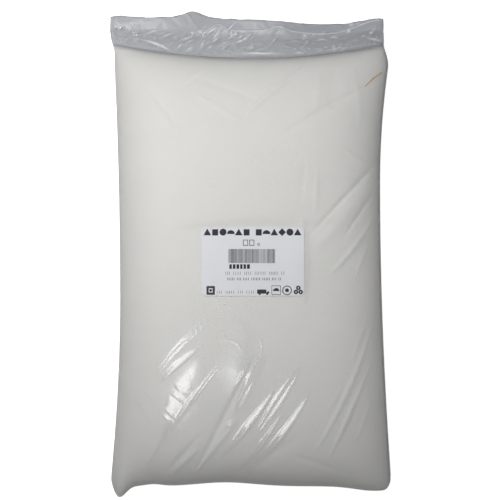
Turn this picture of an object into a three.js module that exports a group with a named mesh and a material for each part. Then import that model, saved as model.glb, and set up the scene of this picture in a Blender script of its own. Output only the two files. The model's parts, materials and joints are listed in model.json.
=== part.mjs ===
// A clear plastic bag filled with white sugar, lying on its back with the labelled face up.
// Millimetres. +Z is up, +Y runs from the bag's bottom end to its sealed mouth, +X to its right.
// The origin is on the surface that the bag lies on, under the middle of the bag.
//
// The bag is two sheets, a face and a back, that meet all round in one edge. Each sheet is a grid
// in (across, along): across runs from -1 at the left edge to 1 at the right, along from 0 at the
// bottom end through 1, where the sugar stops, to 2 at the lip above the seal.

import * as THREE from "three";
import { mergeGeometries, mergeVertices } from "three/addons/utils/BufferGeometryUtils.js";

// Plan of the bag, with Y measured from the line of the bottom end. Each side is narrowest at its
// own waist, and flares from there to the bottom end and to the mouth.
const LEFT_SIDE = { waist: 96.9, waistY: 141, endFlare: 8, mouthFlare: 4.2 };
const RIGHT_SIDE = { waist: 97, waistY: 227, endFlare: 9, mouthFlare: 6.4 };
const SHOULDER_Y = 315; // the sides flare no further than this
const FILL_END_MIDDLE = 319; // where the sugar stops, halfway across
const FILL_END_RISE = 8.5; // how much higher the sugar reaches at the sides
const LIP_Y = 351; // the free edge of the film above the seal
const MOUTH_LEAN = { from: 322, to: 345, x: -3.6 }; // the mouth stands to the left of the body
const SHOULDER_DENT = { at: 329, width: 9, depth: 3 }; // right side, under the mouth
const CORNER_ARC = { share: 0.065, rise: 11 }; // the rounding of both bottom corners

// Bumps of the bottom edge and of the lip, each a smooth hill along X
const EDGE_HALF_WIDTH = 105; // X of both ends of those edges, for placing the bumps
const BOTTOM_BUMPS = [
  { at: -96.5, width: 6, rise: -8 }, // left ear
  { at: -72, width: 9, rise: 1.5 },
  { at: -18, width: 30, rise: 3 },
  { at: 92, width: 20, rise: -3.4 }, // right ear
];
const LIP_BUMPS = [
  { at: -97, width: 10, rise: 1.6 },
  { at: -41, width: 10, rise: 4.4 },
  { at: 2, width: 18, rise: -0.6 },
  { at: 58, width: 45, rise: -5 },
  { at: 97, width: 10, rise: 1 },
];
const BOTTOM_BUMP_POWER = 12; // higher lets the bottom bumps die out sooner along the bag

// Heights
const THICKNESS = 49; // at the crown
const EDGE_Z = 19; // where face and back meet along the sides
const END_EDGE_DROP = 5; // how much lower that edge lies at the bottom end
const END_EDGE_POWER = 8;
const SEAL_Z = 8.5;
const BACK_PRESS = 27; // how far the back would hang under the edge if nothing carried it
const SIDE_POWER = 5; // higher is a flatter face with tighter sides
const END_POWER = 7; // the same along the length
const CROWN_FALL = 0.06; // share of the height lost towards the sides
const FACE_LUMPS = [
  { x: -38, y: 96, width: 46, rise: 1.1 },
  { x: 46, y: 150, width: 38, rise: -0.8 },
  { x: -30, y: 236, width: 52, rise: 0.7 },
  { x: 52, y: 262, width: 34, rise: 0.9 },
];

// Soft folds of the face, each a low ridge, or a valley where it rises less than nothing, that
// fades out towards both of its ends
const FACE_FOLDS = [
  { from: [102, 242], to: [40, 184], width: 7, rise: -1.3 }, // valley beside the label
  { from: [104, 226], to: [58, 178], width: 8, rise: 0.8 },
  { from: [97, 304], to: [34, 262], width: 6, rise: 0.8 },
  { from: [-96, 300], to: [-50, 262], width: 8, rise: 0.7 },
  { from: [86, 132], to: [56, 26], width: 8, rise: 1 },
  { from: [101, 120], to: [72, 22], width: 7, rise: 0.9 },
  { from: [-76, 4], to: [-8, 70], width: 8, rise: 1.1 },
  { from: [-20, 4], to: [40, 41], width: 8, rise: 0.9 },
  { from: [-70, 42], to: [-24, 118], width: 9, rise: 1.3 }, // the fold that shines most
];

// The empty mouth above the sugar
const HEAD_GAP = 12; // half the opening between the films where the sugar stops
const HEAD_GAP_START = 0.8; // share of the body's length where the films part from the sugar
const HEAD_GAP_POWER = 1.4;
const SEAL_AT = 0.66; // share of the way from the sugar to the lip
const FILM_HALF = 0.7; // half the thickness of the pressed films
const LIP_POWER = 8; // higher keeps that thickness closer to the lip
const LIP_WAVE = 2.4;
const LIP_WAVES = 2.5; // half waves across half the mouth

// The paper label
const LABEL = { x: 2.2, y: 168.2, width: 75, height: 50, corner: 3, thickness: 0.4, gap: 0.3 };

// Grid steps
const ACROSS_STEPS = 40;
const BODY_STEPS = 42;
const MOUTH_STEPS = 8;
const EDGE_CROWDING = 0.65; // share of the crowding of steps towards the rounded edges
const LABEL_STEPS = { x: 20, y: 14, corner: 3 };
const MERGE_DISTANCE = 1e-3;

const { lerp: mix, smoothstep, clamp } = THREE.MathUtils;
const hill = (distance, width) => Math.exp(-((distance / width) ** 2));
const hillsAt = (hills, x) =>
  hills.reduce((sum, one) => sum + one.rise * hill(x - one.at, one.width), 0);

// How much the outline turns up inside a rounded bottom corner.
function cornerRise(across) {
  const inCorner = Math.max(0, (Math.abs(across) - 1 + CORNER_ARC.share) / CORNER_ARC.share);
  return CORNER_ARC.rise * (1 - Math.sqrt(1 - Math.min(1, inCorner) ** 2));
}

function planY(across, along) {
  const x = across * EDGE_HALF_WIDTH;
  const fillEnd = FILL_END_MIDDLE + FILL_END_RISE * across ** 2;
  if (along > 1) return mix(fillEnd, LIP_Y + hillsAt(LIP_BUMPS, x), along - 1);
  const bottom = hillsAt(BOTTOM_BUMPS, x) + cornerRise(across);
  return fillEnd * along + bottom * (1 - along) ** BOTTOM_BUMP_POWER;
}

// How far one side's edge stands from the middle line at y.
function sideReach(side, y) {
  const fromWaist = Math.min(y, SHOULDER_Y) - side.waistY;
  if (fromWaist < 0) return side.waist + side.endFlare * (fromWaist / side.waistY) ** 2;
  return side.waist + side.mouthFlare * (fromWaist / (SHOULDER_Y - side.waistY)) ** 2;
}

function planX(across, y) {
  const [left, right] = [sideReach(LEFT_SIDE, y), sideReach(RIGHT_SIDE, y)];
  const lean = MOUTH_LEAN.x * smoothstep(y, MOUTH_LEAN.from, MOUTH_LEAN.to);
  const dent = SHOULDER_DENT.depth * hill(y - SHOULDER_DENT.at, SHOULDER_DENT.width);
  const middle = ((right - left) / 2) * across ** 2;
  return (across * (left + right)) / 2 + middle + lean - dent * Math.max(0, across) ** 4;
}

// Nearly 1 over most of the width, falling to 0 at the side edges with an upright tangent.
function sideProfile(across) {
  const rounded = Math.sqrt(Math.max(0, 1 - Math.abs(across) ** SIDE_POWER));
  return rounded * (1 - CROWN_FALL * across ** 2);
}

// The same along the sugar, from the bottom end to where it stops.
function endProfile(along) {
  return Math.sqrt(Math.max(0, 1 - Math.abs(2 * Math.min(along, 1) - 1) ** END_POWER));
}

// Half the opening of the empty mouth: widest at the sugar, pressed flat at the seal, and shut in
// one line at the lip.
function mouthHalf(along) {
  const mouth = clamp(along - 1, 0, 1);
  const opening = HEAD_GAP * (1 - Math.min(1, mouth / SEAL_AT)) ** HEAD_GAP_POWER;
  const film = FILM_HALF * Math.sqrt(1 - mouth ** LIP_POWER);
  return (opening + film) * smoothstep(along, HEAD_GAP_START, 1);
}

// Height of the edge where face and back meet, and of the line between them elsewhere.
function edgeZ(across, along) {
  if (along <= 1) return EDGE_Z - END_EDGE_DROP * (1 - along) ** END_EDGE_POWER;
  const mouth = along - 1;
  const wave = LIP_WAVE * mouth * Math.sin(LIP_WAVES * Math.PI * across);
  return mix(EDGE_Z, SEAL_Z, smoothstep(mouth, 0, SEAL_AT)) + wave;
}

// Height of one fold over a place in the plan.
function foldAt(fold, place) {
  const start = new THREE.Vector2(...fold.from);
  const run = new THREE.Vector2(...fold.to).sub(start);
  const offset = place.clone().sub(start);
  const share = offset.dot(run) / run.lengthSq();
  const fade = smoothstep(share, 0, 0.3) * (1 - smoothstep(share, 0.7, 1));
  return fold.rise * fade * hill(offset.cross(run) / run.length(), fold.width);
}

// Lumps and folds together, which die out where the face turns down to its edge.
function reliefAt(x, y) {
  const place = new THREE.Vector2(x, y);
  const lumps = FACE_LUMPS.map(
    (lump) => lump.rise * hill(Math.hypot(x - lump.x, y - lump.y), lump.width));
  const folds = FACE_FOLDS.map((fold) => foldAt(fold, place));
  return [...lumps, ...folds].reduce((sum, height) => sum + height, 0);
}

function facePoint(across, along) {
  const y = planY(across, along);
  const x = planX(across, y);
  const full = sideProfile(across) * endProfile(along);
  const open = sideProfile(across) * mouthHalf(along);
  const rise = Math.hypot((THICKNESS - EDGE_Z) * full, open) + reliefAt(x, y) * full;
  return new THREE.Vector3(x, y, edgeZ(across, along) + rise);
}

// The back is pressed flat wherever it would hang below the surface that carries the bag.
function backPoint(across, along) {
  const y = planY(across, along);
  const full = sideProfile(across) * endProfile(along);
  const open = sideProfile(across) * mouthHalf(along);
  const z = edgeZ(across, along) - Math.hypot(BACK_PRESS * full, open);
  return new THREE.Vector3(planX(across, y), y, Math.max(0, z));
}

// Moves even steps from -1 to 1 closer together near both ends.
function crowded(step) {
  return mix(step, Math.sin((step * Math.PI) / 2), EDGE_CROWDING);
}

function rowAlong(row) {
  if (row <= BODY_STEPS) return (1 + crowded((2 * row) / BODY_STEPS - 1)) / 2;
  return 1 + (row - BODY_STEPS) / MOUTH_STEPS;
}

// A flat grid laid onto pointAt(across, along). PlaneGeometry's faces look up.
function sheetGeometry(pointAt) {
  const rows = BODY_STEPS + MOUTH_STEPS;
  const sheet = new THREE.PlaneGeometry(2, rows, ACROSS_STEPS, rows);
  const places = sheet.attributes.position;
  for (let i = 0; i < places.count; i++) {
    const row = Math.round(places.getY(i) + rows / 2);
    places.setXYZ(i, ...pointAt(crowded(places.getX(i)), rowAlong(row)));
  }
  return sheet;
}

// Joins geometries into one closed surface by their places alone.
function closed(...geometries) {
  const whole = mergeGeometries(geometries);
  whole.deleteAttribute("normal");
  whole.deleteAttribute("uv");
  const merged = mergeVertices(whole, MERGE_DISTANCE);
  merged.computeVertexNormals();
  return merged;
}

function bagGeometry() {
  const face = sheetGeometry(facePoint);
  const back = sheetGeometry(backPoint);
  back.setIndex([...back.index.array].reverse());
  return closed(face, back);
}

// Height of the face over a place in the plan, by stepping across and along until it is met.
function faceZ(x, y) {
  let [across, along] = [0, 0.5];
  for (let round = 0; round < 12; round++) {
    const here = facePoint(across, along);
    across += (x - here.x) / EDGE_HALF_WIDTH;
    along += (y - here.y) / FILL_END_MIDDLE;
  }
  return facePoint(across, along).z;
}

// Places grid line number step of steps between -half and half, with some lines in each corner.
function labelLine(step, steps, half) {
  const { corner } = LABEL;
  const inCorner = LABEL_STEPS.corner;
  if (step <= inCorner) return -half + (corner * step) / inCorner;
  if (step >= steps - inCorner) return half - (corner * (steps - step)) / inCorner;
  return mix(corner - half, half - corner, (step - inCorner) / (steps - 2 * inCorner));
}

// Turns the square corners of the label's grid into arcs.
function roundedCorner(x, y) {
  const [innerX, innerY] = [LABEL.width / 2 - LABEL.corner, LABEL.height / 2 - LABEL.corner];
  const out = new THREE.Vector2(Math.abs(x) - innerX, Math.abs(y) - innerY);
  if (out.x <= 0 || out.y <= 0) return [x, y];
  out.setLength(Math.max(out.x, out.y));
  return [Math.sign(x) * (innerX + out.x), Math.sign(y) * (innerY + out.y)];
}

// A thin box with rounded corners that follows the face of the bag at a small gap.
function labelGeometry() {
  const steps = LABEL_STEPS;
  const box = new THREE.BoxGeometry(steps.x, steps.y, 1, steps.x, steps.y, 1);
  const places = box.attributes.position;
  for (let i = 0; i < places.count; i++) {
    const lineX = labelLine(Math.round(places.getX(i) + steps.x / 2), steps.x, LABEL.width / 2);
    const lineY = labelLine(Math.round(places.getY(i) + steps.y / 2), steps.y, LABEL.height / 2);
    const [x, y] = roundedCorner(lineX, lineY);
    const lift = LABEL.gap + (places.getZ(i) > 0 ? LABEL.thickness : 0);
    places.setXYZ(i, LABEL.x + x, LABEL.y + y, faceZ(LABEL.x + x, LABEL.y + y) + lift);
  }
  return closed(box);
}

const bag = new THREE.Mesh(
  bagGeometry(),
  new THREE.MeshStandardMaterial({ color: 0xdad9d4, roughness: 0.35, metalness: 0 }));
bag.name = "sugar_bag";

const label = new THREE.Mesh(
  labelGeometry(),
  new THREE.MeshStandardMaterial({ color: 0xe2e3ea, roughness: 0.6, metalness: 0 }));
label.name = "label";

// The origin is under the middle of the bag's box.
bag.geometry.computeBoundingBox();
const middle = bag.geometry.boundingBox.getCenter(new THREE.Vector3());
const part = new THREE.Group();
for (const mesh of [bag, label]) {
  mesh.position.set(-middle.x, -middle.y, 0);
  part.add(mesh);
}

export default part;
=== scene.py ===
"""A clear plastic bag of white sugar, lying on its back with its labelled face up.

Lengths inside the plan of the bag are in millimetres, with X to the right of the label and Y measured
from the line of the bag's bottom end. Each mesh is written in metres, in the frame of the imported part.
"""

import json
import math
from collections import namedtuple

import bpy
import numpy as np
from bpy.props import FloatProperty, FloatVectorProperty, IntProperty, PointerProperty
from mathutils import Matrix, Vector

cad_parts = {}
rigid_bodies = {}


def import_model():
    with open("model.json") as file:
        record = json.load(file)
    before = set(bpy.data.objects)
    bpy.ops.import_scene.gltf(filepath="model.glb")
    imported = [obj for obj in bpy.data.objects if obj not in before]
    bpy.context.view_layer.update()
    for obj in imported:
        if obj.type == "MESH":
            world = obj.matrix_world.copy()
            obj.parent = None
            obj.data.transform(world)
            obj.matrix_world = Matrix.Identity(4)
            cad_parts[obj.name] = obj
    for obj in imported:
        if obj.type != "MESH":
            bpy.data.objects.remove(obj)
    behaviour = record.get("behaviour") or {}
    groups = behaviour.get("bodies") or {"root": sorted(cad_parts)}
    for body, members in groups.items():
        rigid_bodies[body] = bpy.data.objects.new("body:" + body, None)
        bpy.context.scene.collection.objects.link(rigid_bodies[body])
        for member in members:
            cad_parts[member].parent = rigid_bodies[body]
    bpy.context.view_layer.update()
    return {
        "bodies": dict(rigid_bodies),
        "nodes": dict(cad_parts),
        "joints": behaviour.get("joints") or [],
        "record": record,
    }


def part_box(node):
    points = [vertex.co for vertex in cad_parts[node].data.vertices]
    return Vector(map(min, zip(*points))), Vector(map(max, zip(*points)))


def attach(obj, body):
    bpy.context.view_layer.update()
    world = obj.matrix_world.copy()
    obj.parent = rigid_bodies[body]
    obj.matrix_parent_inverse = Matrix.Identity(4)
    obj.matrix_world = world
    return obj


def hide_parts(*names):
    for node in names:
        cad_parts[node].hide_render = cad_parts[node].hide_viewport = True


bl_info = {
    "name": "Sugar Bag",
    "version": (1, 0, 0),
    "blender": (4, 5, 0),
    "location": "View3D > Sidebar > Sugar Bag",
    "description": "Builds a clear bag of white sugar with a paper label, and its stage",
    "category": "Object",
}

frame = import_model()
MM = 0.001

# Plan of the bag
Side = namedtuple("Side", "waist waist_y end_flare mouth_flare")
LEFT_SIDE = Side(96.9, 141, 8, 4.2)
RIGHT_SIDE = Side(97, 227, 9, 6.4)
SHOULDER_Y = 315
FILL_END_MIDDLE = 320
FILL_END_RISE = 10.5
LIP_Y = 351
MOUTH_LEAN, MOUTH_LEAN_START, MOUTH_LEAN_END = -3.6, 322, 345
DENT_Y, DENT_WIDTH, DENT_DEPTH = 329, 9, 3
CORNER_SHARE, CORNER_RISE = 0.065, 11
EDGE_HALF_WIDTH = 105
BOTTOM_BUMP_POWER = 12

# Smooth hills along X, as place, width and rise
BOTTOM_BUMPS = ((-96.5, 6, -8), (-72, 9, 1.5), (-18, 30, 3), (92, 20, -3.4))
LIP_BUMPS = ((-97, 10, 1.6), (-41, 10, 4.4), (2, 18, -0.6), (58, 45, -5), (97, 10, 1))

# Heights of the filled body
THICKNESS = 49
EDGE_Z = 19
END_EDGE_DROP, END_EDGE_POWER = 5, 8
BACK_PRESS = 27
SIDE_POWER = 5
END_POWER = 7
CROWN_FALL = 0.06
Lump = namedtuple("Lump", "x y width rise")
FACE_LUMPS = (
    Lump(-38, 96, 46, 1.1),
    Lump(46, 150, 38, -0.8),
    Lump(-30, 236, 52, 0.7),
    Lump(52, 262, 34, 0.9),
)

# A crease or fold is a ridge, or a valley where it rises less than nothing, that thins out to nothing
# at both ends. Left and right are how far it spreads to either side of its run, bow is how far its
# middle stands to the left of the straight way, and peak is the share of its length at which it is
# highest.
Crease = namedtuple("Crease", "start end left right rise bow peak", defaults=(0, 0.5))

# Soft folds that the sugar follows
SOFT_FOLDS = (
    # beside and above the label
    Crease((39, 200), (39.5, 136), 4, 14, 1.4),
    Crease((-58, 191), (60, 194), 6, 18, -1.7),
    # from the waist of the right side
    Crease((96.5, 244), (42, 186), 2.2, 2.2, -1.2, 0, 0.25),
    Crease((98, 232), (48, 178), 6, 6, 1),
    Crease((96, 226), (67, 184), 1.9, 1.9, -0.9, 0, 0.3),
    Crease((93, 205), (55, 156), 2, 2, 0.9, 3),
    Crease((88, 184), (76, 154), 1.7, 1.7, 0.5),
    Crease((68, 251), (88, 238), 2, 2, 0.6),
    # the upper half
    Crease((20, 259), (94, 301), 2.6, 2.6, -1.1, 1, 0.6),
    Crease((-4, 274.5), (41, 312), 2.6, 2.6, 1.5, 1),
    Crease((-90, 312), (-54, 267), 2.8, 2.8, -0.9, 2),
    Crease((-53, 293), (-30, 309), 2, 2, -0.8),
    Crease((-48, 306), (13, 283), 2.8, 2.8, -0.5),
    Crease((-40, 291), (-5, 270), 2.5, 2.5, 0.6),
    Crease((76, 310), (80, 266), 3, 3, 0.5, 2),
    Crease((62, 311), (60, 280), 6, 6, -0.5),
    Crease((52, 308), (48, 278), 4, 4, 0.5),
    Crease((49, 238), (48, 201), 2.6, 2.6, 0.4),
    Crease((40, 242), (37, 210), 3, 3, -0.3),
    Crease((-96, 300), (-50, 262), 8, 8, 0.6),
    # the lower right
    Crease((91, 126), (47, 28), 2.2, 2.2, 0.8, 4),
    Crease((90, 96), (57, 22), 1.9, 1.9, 0.75, 0.5),
    Crease((86, 130), (74, 96), 1.8, 1.8, 0.4, 1),
    Crease((89, 68), (77, 36), 1.6, 1.6, 0.4, 1),
    Crease((68, 78), (56, 57), 2, 2, 0.3),
    Crease((30, 27), (76, 10), 2.5, 2.5, -0.5),
    # the lower left
    Crease((5, 101), (-41, 12), 2.3, 2.3, -0.9),
    Crease((-9, 53), (-44, 8), 2, 2, 0.7),
    Crease((-58, 53), (-78, 15), 2.6, 2.6, 0.7),
    Crease((-37, 32), (-58, 11), 2, 2, 0.7),
    Crease((-36, 42), (-62, 12), 2, 2, -0.6),
    Crease((-24, 2), (40, 42), 3.6, 3.6, -0.4),
    Crease((-70, 42), (-24, 118), 9, 9, 0.35),
)

# The empty mouth
HEAD_GAP = 12
HEAD_GAP_START = 0.8
HEAD_GAP_POWER = 1.4
SEAL_AT = 0.66
SEAL_Z = 8.5
FILM_HALF = 0.25
LIP_WAVE, LIP_WAVES = 2.4, 2.5
FRONT_LIP_Y = 341.5  # the front sheet ends here, lower than the back sheet
FRONT_LIP_BUMPS = ((-21, 6.5, 5), (25, 7, 3.5), (58, 22, -2.2), (101, 18, 8))
FRONT_LIP_JOIN = (-46, -34)  # left of here both sheets end together

# Creases of the film
STREAKS = (
    Crease((-20.5, 24.5), (18.8, 75.2), 3, 1.3, 1.35, -1.5, 0.45),
    Crease((5.2, 44), (36.5, 91.5), 2.1, 1, 0.88, 1.3),
    Crease((6.3, 43), (37.7, 90.5), 2.1, 1, 0.88, -1.6),
    Crease((-8, 15), (22.4, 56), 2.2, 1, 1.08, -2.2),
    Crease((-3, 12), (44, 72), 2.9, 1.2, 1.5, -3.4),
    Crease((-12, 56.5), (11.8, 102), 1.8, 0.9, 0.85, 1.8),
    Crease((-10.6, 55.6), (13, 101.3), 1.7, 0.9, 0.68, -0.7),
    Crease((-10, 78), (0.6, 95), 1.4, 0.9, 0.54),
    Crease((-18, 46.8), (-10.4, 53.2), 2, 1, 0.75, -0.8),
    Crease((5.8, 117), (9.4, 98.2), 1, 0.9, 0.28, 1),
    Crease((-13.3, 129.2), (-2.3, 119.2), 1, 1, 0.25, 1),
    Crease((-26.7, 105.8), (-4.4, 100.7), 1.2, 1.2, 0.2, 8),
)
SHEEN_FOLDS = (
    Crease((-71.5, 85.5), (-27, 130.5), 1.4, 0.9, 0.4, 1.6),
    Crease((-69.5, 84), (-29, 125), 1.4, 0.9, 0.4, 1),
    Crease((-66, 79), (-33, 108), 3, 1.6, 0.7, 1, 0.4),
    Crease((-60.5, 41), (-22, 95), 1.6, 1, 0.55, 0.8, 0.3),
    Crease((-53, 50), (-21, 93), 1.3, 0.9, 0.3, 0.4),
    Crease((-85, 69), (-68, 45), 1.1, 1.1, 0.11, -0.6),
    Crease((-78, 74), (-61, 57), 1.1, 1.1, 0.11, -0.6),
    Crease((-65, 63), (-49, 49), 0.8, 0.8, 0.24),
    Crease((-66, 58), (-51, 45), 0.8, 0.8, 0.26),
    Crease((-59, 73), (-46, 61), 0.8, 0.8, 0.2, 1),
    Crease((-56, 81), (-45, 69), 0.8, 0.8, 0.16, -1),
)
SOFT_SHEEN = Crease((-4, 58), (-2, 126), 19, 10, 2.1, 1, 0.45)
SHEEN_PATCH = Crease((-65, 32), (-38, 98), 10, 10, 1, 1)
SIDE_CREASES = (
    Crease((96, 241), (44, 187), 4, 1.6, 0.6, 0, 0.3),
    Crease((95, 222), (68, 184), 3, 1.6, 0.5, 0, 0.3),
    Crease((94, 203), (58, 158), 3, 1.6, 0.5, 3, 0.3),
    Crease((97, 248), (70, 266), 1.6, 2.4, 0.4, 1, 0.2),
    Crease((-99, 316), (-52, 274), 2, 1.6, 0.35, 1, 0.3),
    Crease((-20, 314), (-44, 300), 1.5, 1.5, 0.3),
    Crease((-78, 4), (-16, 62), 2.2, 3, 0.6, 2, 0.3),
    Crease((-66, 3), (-22, 44), 2.4, 1.6, 0.7, 1, 0.3),
    Crease((-50, 3), (-34, 30), 2.4, 1.6, 0.5, 1, 0.3),
    Crease((-30, 3), (14, 36), 2.6, 1.8, 0.8, 1, 0.3),
    Crease((-18, 3), (36, 38), 2.6, 1.8, 0.7, 1, 0.3),
    Crease((16, 3), (48, 30), 2.6, 1.8, 0.6, 1, 0.3),
    Crease((34, 3), (66, 52), 3, 2, 0.7, 2, 0.3),
    Crease((62, 6), (84, 78), 3, 2, 0.7, 2, 0.3),
    Crease((84, 10), (92, 70), 3, 2, 0.6, 2, 0.3),
)
MOUTH_CREASES = (
    Crease((-86, 334), (-54, 320.5), 1.2, 1, 1.1, 1.5),
    Crease((-60, 322.5), (-26, 316), 0.9, 0.9, 0.7, 0.5),
    Crease((-36, 308), (-16, 320), 0.9, 0.9, 0.5, 0.5),
    Crease((-22, 320.8), (34, 321), 0.9, 0.9, 0.9, 0.5),
    Crease((-26, 318), (38, 319), 0.9, 0.9, 0.8, -0.5),
    Crease((30, 320), (96, 331), 0.9, 0.9, 0.6, -1),
)

# Short creases where the flat film is gathered along a side or the bottom end: the ranges of their
# length, left spread and rise, their usual lean in radians and how much it varies
Gather = namedtuple("Gather", "length left rise lean lean_spread")
LEFT_GATHER = Gather((8, 26), (1.2, 2.6), (0.1, 0.3), 0.5, 0.35)
RIGHT_GATHER = Gather((8, 26), (1.2, 2.6), (0.1, 0.5), -0.7, 0.35)
END_GATHER = Gather((12, 30), (1.4, 2.6), (0.2, 0.6), 0.6, 0.3)
GATHER_RIGHT, GATHER_PEAK = (1.2, 2), 0.3
LEFT_AND_RIGHT_SHARE = (0.35, 0.65)
SIDE_GATHER_Y, SIDE_GATHER_REACH = (12, 312), 0.995
END_GATHER_X, END_GATHER_START, END_GATHER_END = (-92, 92), 3, 4
PUCKERS_PER_END_PUCKER = 3

# Small creases of the empty mouth: most slant in a cluster at the left, and those further right cross
CRINKLE_CLUSTER, CRINKLE_RIGHT, CRINKLE_ALL = (-26, 22), (25, 100), (-100, 100)
CRINKLE_SHARES = (0.45, 0.35, 0.2)
CRINKLE_Y, CRINKLE_LENGTH = (319, 337), (7, 20)
CRINKLE_WIDTH, CRINKLE_RISE, CRINKLE_BOW = (0.7, 1.4), (0.3, 0.9), 0.8
SLANT_END, SLANT, CROSSING, CROSSING_SPREAD = 15, (0.75, 0.2), (-0.6, 0.7), 0.35

# How the front sheet's free end curls up, and how far the strip behind it lies off the back sheet
CURLS, LEAST_CURL = ((-21, 9, 3.2), (25, 9, 2.2), (70, 20, 1.4)), 0.8
STRIP_LIFT = 0.35

# How crumpled and how glossy the slack patch that shines is
SHEEN_SLACK, SHEEN_GLOSS = 0.1, 2

# How much hazier the film is past the front sheet's end. The extra milkiness towards the mouth's right end
# and along the right rim is painted shade, which darkens the film there
STRIP_HAZE, RIGHT_PAINTED_SHADE, RIGHT_RIM_PAINTED_SHADE = 0.1, 0.3, 0.8
SPARKLE_CLEARNESS = 0.9  # share of the milkiness taken away at the grain spots, so that the bright floor shows through as painted sparkle

# Film that clings to the sugar takes on its grain and is dull, and film that is lifted off it is glossy
GLOSS_HEIGHT, SOFT_GLOSS, MOUTH_GLOSS = 0.12, 0.95, 0.45
CLINGING_SHINE, CLINGING_ROUGHNESS = 0.12, 0.4
HEAD_ON_MIRROR = 0.04  # share that glossy film mirrors of light that meets it head on
CREST_HEIGHT, CREST_PALE_SHARE = 0.8, 0.4  # a sharp crease turns paler and milkier along its crest, partly by whitening of the stretched film and partly as painted highlight
# painted highlight: a pale, milky line along the front sheet's free end, and its width in rows
FRONT_LIP_HIGHLIGHT, FRONT_LIP_WIDTH = 0.7, 0.03
PALE_CREST_AND_HIGHLIGHT_COLOUR = (0.93, 0.94, 0.97)
CLEAR_COLOUR = (0.93, 0.93, 0.93, 1)

# The film's fine and wide waviness, which is too low to show in its outline
FINE_WAVE = {"Scale": 260.0, "Detail": 3.0, "Roughness": 0.55}
WIDE_WAVE = {"Scale": 60.0, "Detail": 1.0, "Distortion": 0.6}
FINE_WAVE_SHARE, WAVE_STRENGTH, WAVE_DEPTH = 0.25, 0.15, 0.0012
CRUMPLE_BEND = (0.006, 0.006, 0.0)  # how far the net of crumples is bent from straight lines, in metres
CRUMPLE_EDGE = 0.35  # share of a crumple's cell that its ridge takes up

# Where stray grains cling inside the mouth, as X, Y and reach, and how many lie along the sugar's end. Around
# the listed spots the film is also cleared, as painted sparkle
GRAIN_AND_SPARKLE_SPOTS = (
    (-99.5, 344, 1.6),
    (-90.5, 343, 2),
    (-86, 339, 1.6),
    (-85.6, 336, 1.3),
    (-43, 338.5, 1.4),
    (-35, 337.5, 1.6),
    (-26.5, 338, 1.4),
    (-14, 338.5, 1.6),
    (-11, 338.3, 1.2),
    (41, 336.5, 1.5),
)
SEAM_GRAIN, SEAM_GRAIN_Y, SEAM_GRAIN_WIDTH = 0.05, 2, 3
GRAIN_SHAPE, GRAIN_STRETCH = (1.0, 0.8, 0.7), (0.4, 1.2)
GRAIN_DEPTH = 0.0004  # how far a grain's middle lies under the film, in metres

# A thin orange-brown thread on the film, from its inner end outwards: a painted reflection of an orange
# streak in a crease
GLINT_STREAK_PATH = ((84.5, 297), (87.5, 299.8), (90.5, 302.8), (94, 305.4), (97.2, 308))
GLINT_STREAK_LIFT = 0.15
GLINT_STREAK_SIDES = 8

# How far the sugar keeps from the plan's edge, the floor and its own face
SUGAR_INSET, SUGAR_FLOOR, SUGAR_LEAST = 0.995, 0.3, 0.02

# Grid steps of the pieces
FILM_ACROSS, FILM_BODY, FILM_MOUTH, FILM_STRIP = 240, 236, 54, 10
SUGAR_ACROSS, SUGAR_ROWS = 230, 310
SUGAR_CROWDING = 0.5
LABEL_STEP = 1.5

# Where the film's grid lines stand closer: from, to and blend of a window, and how much closer, and the
# same from a place on towards the edges
FINE_COLUMNS, FINE_COLUMN_GAIN = (-0.75, 0.42, 0.06), 2.2
FINE_ROWS, FINE_ROW_GAIN = (0.08, 0.32, 0.04), 4
EDGE_COLUMNS, EDGE_COLUMN_GAIN = 0.95, 1.5
EDGE_ROWS, EDGE_ROW_GAIN = 0.475, 3

# The paper label and its print, in millimetres from the label's middle
LABEL_X, LABEL_Y, LABEL_WIDTH, LABEL_HEIGHT, LABEL_CORNER = 2.2, 168.2, 75, 50, 3
LABEL_THICKNESS, LABEL_LIFT = 0.2, 0.45
Box = namedtuple("Box", "left right low high")
HEADING = (Box(-36.2, -1.8, 18.6, 24.4), Box(1.3, 35.4, 18.6, 24.4))
SUBHEADING = Box(-7.3, 6.4, 11.6, 16)
BARCODE = Box(-17.5, 17.1, -1, 9.2)
SHORT_LINE = Box(-17.2, -1.2, -5.2, -1.9)
FINE_LINE = Box(-18.6, 20.8, -13.6, -11.7)
GREY_LINES = (Box(-20, 23, -9.6, -7.2), Box(-26.2, 1.4, -23.3, -21.1))
PRINT_THICKNESS = 0.05
BAR_STEP = 4
BLOCK_WIDTH, BLOCK_GAP = (1.7, 2.1), 0.75
TICK_GROUP, TICK_UNEVENNESS, TICK_GROUP_GAP = (3, 7), (0.8, 1.2), 1.5
FINE_TICK, GREY_TICK = (0.35, 0.8), (0.3, 1.2)  # stroke and gap
BAR_PITCH, BAR_WIDTH, BAR_ROWS = 0.9, (0.35, 0.85), 6

# A printed disc, ring or arc, or a shape of few sides, as its middle, outer and inner reach, the turn
# that it spans and its number of sides
Disc = namedtuple("Disc", "x y outer inner start end sides", defaults=(0, 0, math.tau, 28))
QUARTER = math.pi / 2

# The plain shapes of the heading, as shares of half its height
SQUARE_SHAPE = Box(-0.8, 0.8, -0.9, 0.8)
ROUND_SHAPES = {
    "disc": Disc(0, 0, 0.95),
    "half disc": Disc(0, -0.5, 1.05, end=math.pi),
    "triangle": Disc(0, -0.25, 1.2, start=QUARTER, end=5 * QUARTER, sides=3),
    "diamond": Disc(0, 0, 1.05, start=QUARTER, end=5 * QUARTER, sides=4),
}
HEADING_SHAPES = (
    ("triangle", "square", "disc", "half disc", "triangle", "square"),
    ("square", "half disc", "triangle", "diamond", "disc", "triangle"),
)
SHAPE_REACH = 0.46

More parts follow.
